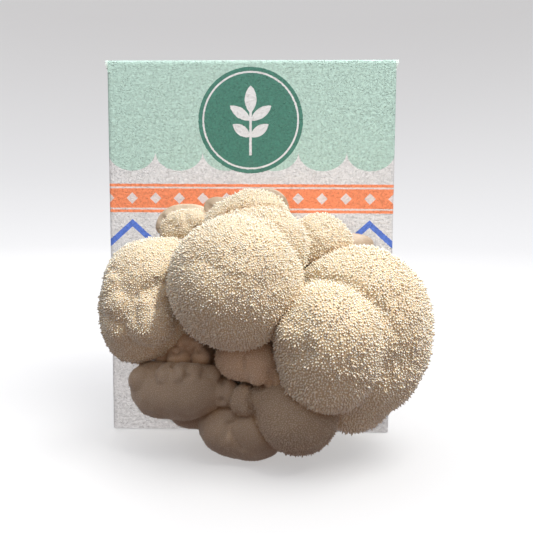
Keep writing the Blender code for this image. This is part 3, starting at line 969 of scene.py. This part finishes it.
def route_distance(places, route):
    """Give each place's distance to a route of straight lines between points."""
    nearest = np.full(len(places), np.inf)
    for start, end in zip(route, route[1:]):
        along = end - start
        shares = np.clip((places - start) @ along / (along @ along), 0.0, 1.0)
        gaps = np.linalg.norm(places - start - shares[:, None] * along, axis=1)
        nearest = np.minimum(nearest, gaps)
    return nearest


def shape_skin(mesh, name):
    """Raise a pom-pom's lobes, no further than its neighbours let them, and press in its
    creases."""
    own = search_tree(mesh)
    places = np.array([vertex.co for vertex in mesh.vertices])
    outward = np.array([vertex.normal for vertex in mesh.vertices])
    middle = Vector(places.mean(axis=0))
    raised = np.zeros(len(places))
    pressed = np.zeros(len(places))
    for across, down, radius, rise in LOBES.get(name, ()):
        spot = np.array(seen_spot(own, middle, across, down))
        reach = np.linalg.norm(places - spot, axis=1) / (radius * MM)
        inside = np.clip(1.0 - reach ** 2, 0.0, 1.0)
        raised = np.maximum(raised, rise * MM * inside)
    for radius, depth, *pixels in CREASES.get(name, ()):
        route = [np.array(seen_spot(own, middle, *pixel)) for pixel in pixels]
        reach = route_distance(places, route) / (radius * MM)
        pressed = np.maximum(pressed, depth * MM * np.clip(1.0 - reach, 0.0, 1.0) ** 1.7)
    others = neighbour_tree(POMS[name].nodes)
    clear = np.full(len(places), LOBE_ROOM)
    for index in np.flatnonzero(raised):
        vertex = mesh.vertices[index]
        gap = others.ray_cast(vertex.co, vertex.normal, LOBE_ROOM)[3]
        if gap is not None:
            clear[index] = gap
    lift = np.minimum(raised, clear) - pressed
    mesh.vertices.foreach_set("co", (places + outward * lift[:, None]).ravel())
    smooth_points(mesh, np.flatnonzero(lift).tolist(), CREASE_SMOOTHING)


def mark_room(mesh, name):
    """Store on each point of a skin how much room there is straight out of it, 0 where it
    touches a neighbour to 1, and how near it lies to a neighbour, 1 at the join to 0, which masks the
    painted crease shade."""
    tree = neighbour_tree(POMS[name].nodes)
    room = []
    crease_shade = []
    for vertex in mesh.vertices:
        clear = tree.ray_cast(vertex.co, vertex.normal, FULL_COAT_ROOM)[3]
        near = tree.find_nearest(vertex.co, CREASE_SHADE_REACH)[3]
        room.append(1.0 if clear is None else share(clear, NO_COAT_ROOM, FULL_COAT_ROOM))
        crease_shade.append(0.0 if near is None else 1.0 - near / CREASE_SHADE_REACH)
    for label, values in (("room", room), ("crease_shade", crease_shade)):
        layer = mesh.attributes.new(label, "FLOAT", "POINT")
        layer.data.foreach_set("value", values)


def swell(mesh, distance):
    """Move every point of a skin straight out by a small distance."""
    places = [vertex.co + vertex.normal * distance for vertex in mesh.vertices]
    for vertex, place in zip(mesh.vertices, places):
        vertex.co = place


def grow_pom(name, material, look, seed):
    """Make one finished pom-pom: a smooth lumpy skin and its spines."""
    pom = POMS[name]
    item = bpy.data.objects.new(name + "_pom_pom", copied_skin(name))
    bpy.context.scene.collection.objects.link(item)
    even = item.modifiers.new("Even skin", "REMESH")
    even.mode = "VOXEL"
    even.voxel_size = pom.voxel * MM
    soft = item.modifiers.new("Soft skin", "SMOOTH")
    soft.factor = 0.5
    soft.iterations = pom.smoothing
    skin = evaluated_mesh(item)
    swell(skin, SKIN_SWELL)
    if len(pom.nodes) > 1:
        soften_joins(skin, pom.nodes)
    shape_skin(skin, name)
    mark_room(skin, name)
    spines = item.modifiers.new("Spine coat", "NODES")
    spines.node_group = bpy.data.node_groups.get("Spine coat") or coat_tree()
    values = {
        "Length": pom.length * MM, "Spacing": pom.spacing * MM,
        "Thickness": pom.width * MM, "Droop": look.droop, "Lean": look.lean,
        "Tuft Lean": look.tuft_lean, "Tuft Size": look.tuft_size,
        "Lump Height": pom.lump * MM, "Lump Size": pom.lump_size * MM,
        "Seed": seed, "Material": material}
    for socket in spines.node_group.interface.items_tree:
        if socket.in_out == "INPUT" and socket.name in values:
            spines[socket.identifier] = values[socket.name]
    evaluated_mesh(item)
    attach(item, BODY)
    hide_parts(*pom.nodes)
    return item


def smooth_path(points, steps):
    """Give evenly numbered points on a smooth curve through the given ones."""
    padded = [points[0] * 2 - points[1], *points, points[-1] * 2 - points[-2]]
    path = []
    for step in range(steps + 1):
        along = step / steps * (len(points) - 1)
        index = min(int(along), len(points) - 2)
        t = along - index
        a, b, c, d = padded[index:index + 4]
        path.append(0.5 * (2 * b + (c - a) * t + (2 * a - 5 * b + 4 * c - d) * t ** 2
                           + (3 * b - a - 3 * c + d) * t ** 3))
    return path


def make_rim(name, material):
    """Make one bare rim: a flap that grows out of a head's side and ends in a round edge that
    thins out at both ends."""
    carrier, distance, thickness, *pixels = RIMS[name]
    eye = Vector(CAMERA_PLACE)
    edge = []
    for across, down in pixels:
        sight = sight_line(across, down)
        edge.append(eye + sight * ((-distance * MM - eye.y) / sight.y))
    path = smooth_path(edge, RIM_STEPS)
    head = search_tree(frame["nodes"][carrier].data)
    bm = bmesh.new()
    rings = []
    for step, outer in enumerate(path[1:-1], start=1):
        thin = math.sin(math.pi * step / RIM_STEPS) ** 0.5
        root = head.find_nearest(outer)[0]
        reach = outer - root
        root -= reach.normalized() * (RIM_ROOT * MM)
        outer = root.lerp(outer, 0.6 + 0.4 * thin)
        run = (path[step + 1] - path[step - 1]).normalized()
        across = (outer - root) / 2
        flat = across.cross(run).normalized() * (thickness * MM / 2 * thin)
        middle = (outer + root) / 2
        ring = []
        for side in range(RIM_SIDES):
            angle = math.tau * side / RIM_SIDES
            c, s = math.cos(angle), math.sin(angle)
            ring.append(bm.verts.new(
                middle + across * math.copysign(abs(c) ** RIM_SQUARENESS, c)
                + flat * math.copysign(abs(s) ** RIM_SQUARENESS, s)))
        rings.append(ring)
    for first, second in zip(rings, rings[1:]):
        for side in range(RIM_SIDES):
            after = (side + 1) % RIM_SIDES
            bm.faces.new((first[side], first[after], second[after], second[side]))
    bm.faces.new(rings[0])
    bm.faces.new(rings[-1])
    bmesh.ops.recalc_face_normals(bm, faces=bm.faces)
    mesh = bpy.data.meshes.new(name)
    bm.to_mesh(mesh)
    bm.free()
    mesh.materials.append(material)
    mesh.shade_smooth()
    item = bpy.data.objects.new(name, mesh)
    bpy.context.scene.collection.objects.link(item)
    soft = item.modifiers.new("Soft edge", "SUBSURF")
    soft.levels = 1
    soft.render_levels = 1
    evaluated_mesh(item)
    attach(item, BODY)
    return item


def flesh_material(name, look, tips, warm_shaded_roots):
    """Spongy cream flesh: pale tips and warmer roots, partly painted shade between the spines, and
    painted shade with a painted ochre glow in the creases between heads.
    """
    material, graph, shader = new_material(
        name, 0.62, Sheen_Weight=0.1, Sheen_Roughness=0.5, Subsurface_Weight=0.7,
        Subsurface_Radius=(1.0, 0.85, 0.7), Subsurface_Scale=0.75 * MM)
    place = object_millimetres(graph)

    def attribute(name):
        """Read a value stored on the mesh."""
        return graph.node("ShaderNodeAttribute", attribute_name=name).outputs["Fac"]

    mottle = use_group(graph, shared_group(mottle_group, "Mottle"), Vector=place, Size=14.0)
    # Darker roots and pale tips: partly real tone, partly painted shade between the spines
    tip = graph.ramp(attribute("tip"), 0.0, 0.85)
    base = graph.blend(tip, tuple(warm_shaded_roots), tuple(tips))
    # Painted shade and ochre glow in the creases, strongest where a head meets a neighbour
    crease_shade = graph.math("POWER", attribute("crease_shade"), 2.5)
    base = graph.blend(graph.math("MULTIPLY", crease_shade, 0.55), base, tuple(look.crease_shade))
    tone = graph.ramp(attribute("tone"), 0.0, 1.0, 0.90, 1.0)
    shade = graph.math("MULTIPLY", tone, graph.ramp(mottle["Mask"], 0.0, 1.0, 0.93, 1.0))
    base = graph.blend(1.0, base, graph.join(shade, shade, shade), "MULTIPLY")
    graph.feed(shader.inputs["Base Color"], base)
    fine = graph.noise(place, 2.2, 3.0)
    bump(graph, shader, fine, 0.25, 0.3 * MM)
    return material


def rim_material(name, look, darkest, palest):
    """Smooth bare flesh, a little glossy, whose tone runs between two shares of the pale one."""
    material, graph, shader = new_material(
        name, 0.45, Subsurface_Weight=0.4, Subsurface_Radius=(1.0, 0.85, 0.7),
        Subsurface_Scale=0.8 * MM)
    place = object_millimetres(graph)
    mottle = use_group(graph, shared_group(mottle_group, "Mottle"), Vector=place, Size=7.0)
    tone = graph.ramp(mottle["Mask"], 0.0, 1.0, darkest, palest)
    graph.feed(shader.inputs["Base Color"], graph.blend(
        tone, tuple(look.rim_stain), tuple(look.rim)))
    graph.feed(shader.inputs["Roughness"], graph.ramp(mottle["Mask"], 0.0, 1.0, 0.38, 0.55))
    bump(graph, shader, graph.noise(place, 0.7, 4.0, 0.6), 0.4, 0.5 * MM)
    return material


def card_material(look):
    """Printed recycled card: flecked paper, flat inks, worn folds and a beaded surface."""
    material, graph, shader = new_material("Printed card", 0.5)
    place = object_millimetres(graph)
    specks = use_group(
        graph, shared_group(speck_group, "Fibre specks"), Vector=place, Scale=1.1, Cover=0.16)
    mottle = use_group(graph, shared_group(mottle_group, "Mottle"), Vector=place, Size=5.0)
    grain = graph.noise(place, 0.62, 5.0, 0.78)
    grit = graph.ramp(grain, 0.3, 0.7, 0.72, 1.20)
    paper_tone = graph.math("MULTIPLY", grit, graph.ramp(mottle["Mask"], 0.0, 1.0, 0.92, 1.02))
    paper = graph.blend(
        1.0, tuple(look.paper), graph.join(paper_tone, paper_tone, paper_tone), "MULTIPLY")
    paper = graph.blend(
        graph.math("MULTIPLY", specks["Mask"], 0.35), paper, colour(150, 142, 130))
    layout = CardPrint(graph, place, look)
    ink_tone = graph.math("MULTIPLY", grit, graph.ramp(mottle["Mask"], 0.0, 1.0, 0.93, 1.02))

    def ink(mask, flat, under, cover=0.97):
        """Lay one ink over what is printed under it."""
        toned = graph.blend(1.0, tuple(flat), graph.join(ink_tone, ink_tone, ink_tone), "MULTIPLY")
        return graph.blend(graph.math("MULTIPLY", mask, cover), under, toned)

    mint = graph.math("MAXIMUM", layout.mint_field(), graph.math(
        "MULTIPLY", layout.facing_up, graph.math("GREATER_THAN", layout.v, 100.0)))
    upright = graph.math("SUBTRACT", 1.0, layout.facing_up)
    base = ink(mint, look.mint, paper)
    band, lines = layout.ribbon()
    base = ink(graph.math("MULTIPLY", band, upright), look.orange, base)
    trim = graph.math("MAXIMUM", lines, layout.ribbon_diamonds())
    base = graph.blend(graph.math("MULTIPLY", trim, graph.math("MULTIPLY", upright, 0.85)),
                       base, tuple(look.paper))
    base = ink(graph.math("MULTIPLY", layout.zigzags(), upright), look.blue, base)
    centre = (0.0, look.patch_height)
    reach, patch = layout.disc(centre, look.patch_radius)
    patch = graph.math("MULTIPLY", patch, upright)
    base = ink(patch, look.green, base)
    ring = layout.band(reach, look.patch_radius - 3.2, look.patch_radius - 2.2)
    marks = graph.math("MAXIMUM", ring, layout.sprig((0.0, look.patch_height - 2.0)))
    base = graph.blend(graph.math("MULTIPLY", marks, patch), base, tuple(look.paper))
    base = worn_folds(graph, place, base, look)
    graph.feed(shader.inputs["Base Color"], base)
    beads = use_group(
        graph, shared_group(bead_group, "Bead relief"), Vector=place, Scale=0.9, Cover=0.7)
    height = graph.math("ADD", beads["Height"], graph.math("MULTIPLY", grain, 0.8))
    bump(graph, shader, height, 1.0, 0.7 * MM)
    graph.feed(shader.inputs["Roughness"], graph.ramp(beads["Height"], 0.0, 0.6, 0.62, 0.48))
    return material


def worn_folds(graph, place, base, look):
    """Lighten the carton's folds, where the ink has cracked off the card."""
    x, y, z = graph.split(place)
    away = []
    for value, half in ((x, CARTON_HALF_WIDTH), (y, CARTON_HALF_DEPTH)):
        away.append(graph.math("SUBTRACT", half / MM, graph.math("ABSOLUTE", value)))
    middle = CARTON_TOP / MM / 2
    away.append(graph.math("SUBTRACT", middle, graph.math(
        "ABSOLUTE", graph.math("SUBTRACT", z, middle))))
    pairs = []
    for first, second in ((0, 1), (0, 2), (1, 2)):
        pairs.append(graph.math("MAXIMUM", away[first], away[second]))
    nearest = graph.math("MINIMUM", graph.math("MINIMUM", pairs[0], pairs[1]), pairs[2])
    rough = graph.math("MULTIPLY", graph.noise(place, 0.8, 4.0, 0.7), 1.6)
    worn = graph.under(graph.math("ADD", nearest, rough), 1.35, 0.35)
    return graph.blend(graph.math("MULTIPLY", worn, 0.55), base, colour(236, 236, 230))


def film_material():
    """Clear bag film, a little milky, with fine creases."""
    material, graph, shader = new_material("Bag film", 0.22, Alpha=0.55)
    place = object_millimetres(graph)
    mottle = use_group(graph, shared_group(mottle_group, "Mottle"), Vector=place, Size=20.0)
    graph.feed(shader.inputs["Base Color"], graph.blend(
        mottle["Mask"], colour(214, 214, 206), colour(240, 240, 236)))
    beads = use_group(
        graph, shared_group(bead_group, "Bead relief"), Vector=place, Scale=0.25, Cover=0.7)
    creases = graph.noise(place, 0.12, 5.0, 0.7)
    bump(graph, shader, graph.math("ADD", creases, graph.math(
        "MULTIPLY", beads["Height"], 0.2)), 0.6, 1.0 * MM)
    return material


def patch_material():
    """White fibrous filter paper with a pressed grid."""
    material, graph, shader = new_material("Filter paper", 0.85)
    place = object_millimetres(graph)
    specks = use_group(
        graph, shared_group(speck_group, "Fibre specks"), Vector=place, Scale=2.0, Cover=0.3)
    graph.feed(shader.inputs["Base Color"], graph.blend(
        specks["Mask"], colour(240, 240, 236), colour(214, 212, 204)))
    x, y, z = graph.split(place)
    grid = graph.math("MAXIMUM", graph.math("PINGPONG", x, 0.8), graph.math("PINGPONG", z, 0.8))
    bump(graph, shader, grid, 0.5, 0.3 * MM)
    return material


def sawdust_material():
    """Pressed sawdust run through with white threads of mushroom."""
    material, graph, shader = new_material("Pressed sawdust", 0.9)
    place = object_millimetres(graph)
    specks = use_group(
        graph, shared_group(speck_group, "Fibre specks"), Vector=place, Scale=0.6, Cover=0.55)
    mottle = use_group(graph, shared_group(mottle_group, "Mottle"), Vector=place, Size=24.0)
    wood = graph.blend(specks["Mask"], colour(204, 170, 122), colour(148, 108, 66))
    graph.feed(shader.inputs["Base Color"], graph.blend(
        graph.ramp(mottle["Mask"], 0.3, 0.8), wood, colour(240, 232, 214)))
    bump(graph, shader, graph.noise(place, 0.9, 5.0, 0.7), 0.8, 1.0 * MM)
    return material


def dress_node(name, material):
    """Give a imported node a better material."""
    frame["nodes"][name].material_slots[0].material = material


class GROWKIT_OT_stage(bpy.types.Operator):
    """Set up the floor, the lights and the camera."""

    bl_idname = "growkit.stage"
    bl_label = "Set the Stage"

    def execute(self, context):
        """Make the sweep, the lights, the surround and the camera."""
        look = context.scene.growkit_studio
        sweep = self.make_sweep(look)
        key = self.make_light("Key light", KEY_PLACE, look.key_power, look.key_size)
        box = [item for name, item in frame["nodes"].items() if name not in GROWN_NODES]
        self.choose_lit(key, [sweep, *box], "EXCLUDE")
        card = self.make_light("Card light", KEY_PLACE, look.key_power, look.key_size)
        self.choose_lit(card, box, "INCLUDE")
        card.light_linking.blocker_collection = card.light_linking.receiver_collection
        floor = self.make_light(
            "Floor light", KEY_PLACE, look.key_power * look.floor_share, look.floor_size)
        self.choose_lit(floor, [sweep], "INCLUDE")
        front = self.make_light("Carton light", (-0.4, -2.2, 0.7), look.front_power,
                                look.front_size)
        self.choose_lit(front, box, "INCLUDE")
        fill = self.make_light("Low fill", (0.45, -1.25, 0.02), look.fill_power, look.front_size)
        fill.data.color = look.fill_colour
        self.choose_lit(fill, [bpy.data.objects[name + "_pom_pom"] for name in FILLED_POMS], "INCLUDE")
        self.make_light("Back light", (-0.5, 1.1, 1.3), look.back_power, look.back_size)
        self.make_surround(context, look)
        context.scene.view_settings.view_transform = "Standard"
        self.make_camera(context)
        return {"FINISHED"}

    @staticmethod
    def make_surround(context, look):
        """A surround that is bright overhead, dim at eye level and warm below."""
        world = bpy.data.worlds.new("Studio surround")
        world.use_nodes = True
        graph = Graph(world.node_tree)
        height = graph.split(graph.node("ShaderNodeTexCoord").outputs["Generated"])[2]
        background = world.node_tree.nodes["Background"]
        low = graph.blend(graph.ramp(height, -0.5, 0.1), tuple(look.below), tuple(look.level))
        graph.feed(background.inputs["Color"], graph.blend(
            graph.ramp(height, 0.2, 0.85), low, tuple(look.above)))
        context.scene.world = world

    @staticmethod
    def make_sweep(look):
        """A pale round floor that curves up into a backdrop on every side."""
        flat, bend, height = 1.6, 0.9, 3.4
        steps, sides = 16, 96
        profile = []
        for step in range(steps + 1):
            angle = math.radians(90.0) * step / steps
            profile.append((flat + bend * math.sin(angle), bend - bend * math.cos(angle)))
        profile.append((flat + bend, height))
        bm = bmesh.new()
        middle = bm.verts.new((0.0, 0.0, 0.0))
        rings = []
        for reach, rise in profile:
            angles = [math.tau * side / sides for side in range(sides)]
            rings.append([bm.verts.new((reach * math.cos(a), reach * math.sin(a), rise))
                          for a in angles])
        for side in range(sides):
            after = (side + 1) % sides
            bm.faces.new((middle, rings[0][side], rings[0][after]))
            for low, high in zip(rings, rings[1:]):
                bm.faces.new((low[side], high[side], high[after], low[after]))
        mesh = bpy.data.meshes.new("studio_sweep")
        bm.to_mesh(mesh)
        bm.free()
        mesh.shade_smooth()
        sweep = bpy.data.objects.new("studio_sweep", mesh)
        bpy.context.scene.collection.objects.link(sweep)
        material, graph, shader = new_material("Studio paper", 0.9)
        shader.inputs["Base Color"].default_value = look.floor
        shader.inputs["Emission Color"].default_value = (1.0, 1.0, 1.0, 1.0)
        shader.inputs["Emission Strength"].default_value = look.floor_glow
        mesh.materials.append(material)
        sweep.visible_diffuse = False
        sweep.visible_shadow = False
        return sweep

    @staticmethod
    def make_light(name, place, power, size):
        """A square soft light that faces the mushroom."""
        data = bpy.data.lights.new(name, "AREA")
        data.energy = power
        data.size = size
        lamp = bpy.data.objects.new(name, data)
        lamp.visible_camera = False
        lamp.location = place
        aim = Vector((0.0, -0.08, 0.09)) - lamp.location
        lamp.rotation_euler = aim.to_track_quat("-Z", "Y").to_euler()
        bpy.context.scene.collection.objects.link(lamp)
        return lamp

    @staticmethod
    def choose_lit(lamp, items, state):
        """Let a light fall on some objects only, or on all but those."""
        lit = bpy.data.collections.new(lamp.name + " receivers")
        for item in items:
            lit.objects.link(item)
        for member in lit.collection_objects:
            member.light_linking.link_state = state
        lamp.light_linking.receiver_collection = lit

    @staticmethod
    def make_camera(context):
        right, up, ahead = camera_axes()
        data = bpy.data.cameras.new("Camera")
        data.sensor_width = CAMERA_SENSOR
        data.lens = CAMERA_LENS
        camera = bpy.data.objects.new("Camera", data)
        turn = Matrix((right, up, -ahead)).transposed()
        camera.matrix_world = Matrix.Translation(CAMERA_PLACE) @ turn.to_4x4()
        context.scene.collection.objects.link(camera)
        context.scene.camera = camera


class GROWKIT_OT_carton(bpy.types.Operator):
    """Print and wear the card carton."""

    bl_idname = "growkit.carton"
    bl_label = "Finish the Carton"

    def execute(self, context):
        """Give the carton its printed card."""
        dress_node("carton", card_material(context.scene.growkit_card))
        return {"FINISHED"}


class GROWKIT_OT_contents(bpy.types.Operator):
    """Finish the block, its bag and the bag's filter patch."""

    bl_idname = "growkit.contents"
    bl_label = "Finish the Contents"

    def execute(self, context):
        """Give the contents their materials."""
        dress_node("grow_bag", film_material())
        dress_node("filter_patch", patch_material())
        dress_node("substrate_block", sawdust_material())
        return {"FINISHED"}


class GROWKIT_OT_mushroom(bpy.types.Operator):
    """Grow the mushroom's base and its furry heads."""

    bl_idname = "growkit.mushroom"
    bl_label = "Grow the Mushroom"

    def execute(self, context):
        """Replace the plain heads with furry ones."""
        look = context.scene.growkit_mushroom
        furry = flesh_material("Furry flesh", look, look.tip, look.root)
        # The smooth lower heads get a darker copy of the flesh, partly painted shade
        smooth = flesh_material("Shaded smooth flesh", look, look.shaded_smooth_tip, look.shaded_smooth_root)
        for seed, name in enumerate(POMS, start=1):
            grow_pom(name, smooth if name in SHADED_SMOOTH_POMS else furry, look, seed)
        return {"FINISHED"}


class GROWKIT_OT_rims(bpy.types.Operator):
    """Add the bare rims that stand out from the sides of the heads."""

    bl_idname = "growkit.rims"
    bl_label = "Add the Bare Rims"

    def execute(self, context):
        """Make each rim, pale beside the upper left head and stained elsewhere."""
        look = context.scene.growkit_mushroom
        pale = rim_material("Pale rim", look, 0.3, 1.0)
        stained = rim_material("Stained rim", look, 0.0, 0.4)
        for name in RIMS:
            make_rim(name, pale if name == "upper_left_rim" else stained)
        return {"FINISHED"}


class GROWKIT_PT_panel(bpy.types.Panel):
    bl_label = "Grow Kit"
    bl_idname = "GROWKIT_PT_panel"
    bl_space_type = "VIEW_3D"
    bl_region_type = "UI"
    bl_category = "Grow Kit"

    def draw(self, context):
        """List every setting and operator."""
        for label, look in (("Card", context.scene.growkit_card),
                            ("Mushroom", context.scene.growkit_mushroom),
                            ("Studio", context.scene.growkit_studio)):
            box = self.layout.box()
            box.label(text=label)
            for name in look.__annotations__:
                box.prop(look, name)
        for operator in OPERATORS:
            self.layout.operator(operator.bl_idname)


OPERATORS = (GROWKIT_OT_carton, GROWKIT_OT_contents, GROWKIT_OT_mushroom, GROWKIT_OT_rims,
             GROWKIT_OT_stage)
LOOKS = {"growkit_card": CardLook, "growkit_mushroom": MushroomLook, "growkit_studio": StudioLook}


def register():
    """Register the classes and hang the settings on the scene."""
    for item in (*LOOKS.values(), *OPERATORS, GROWKIT_PT_panel):
        bpy.utils.register_class(item)
    for name, kind in LOOKS.items():
        setattr(bpy.types.Scene, name, bpy.props.PointerProperty(type=kind))


def unregister():
    """Take the settings and the classes away again."""
    for name in LOOKS:
        delattr(bpy.types.Scene, name)
    for item in (GROWKIT_PT_panel, *reversed(OPERATORS), *LOOKS.values()):
        bpy.utils.unregister_class(item)


def main():
    """Run every operator."""
    register()
    bpy.ops.growkit.carton()
    bpy.ops.growkit.contents()
    bpy.ops.growkit.mushroom()
    bpy.ops.growkit.rims()
    bpy.ops.growkit.stage()


if __name__ == "__main__":
    main()
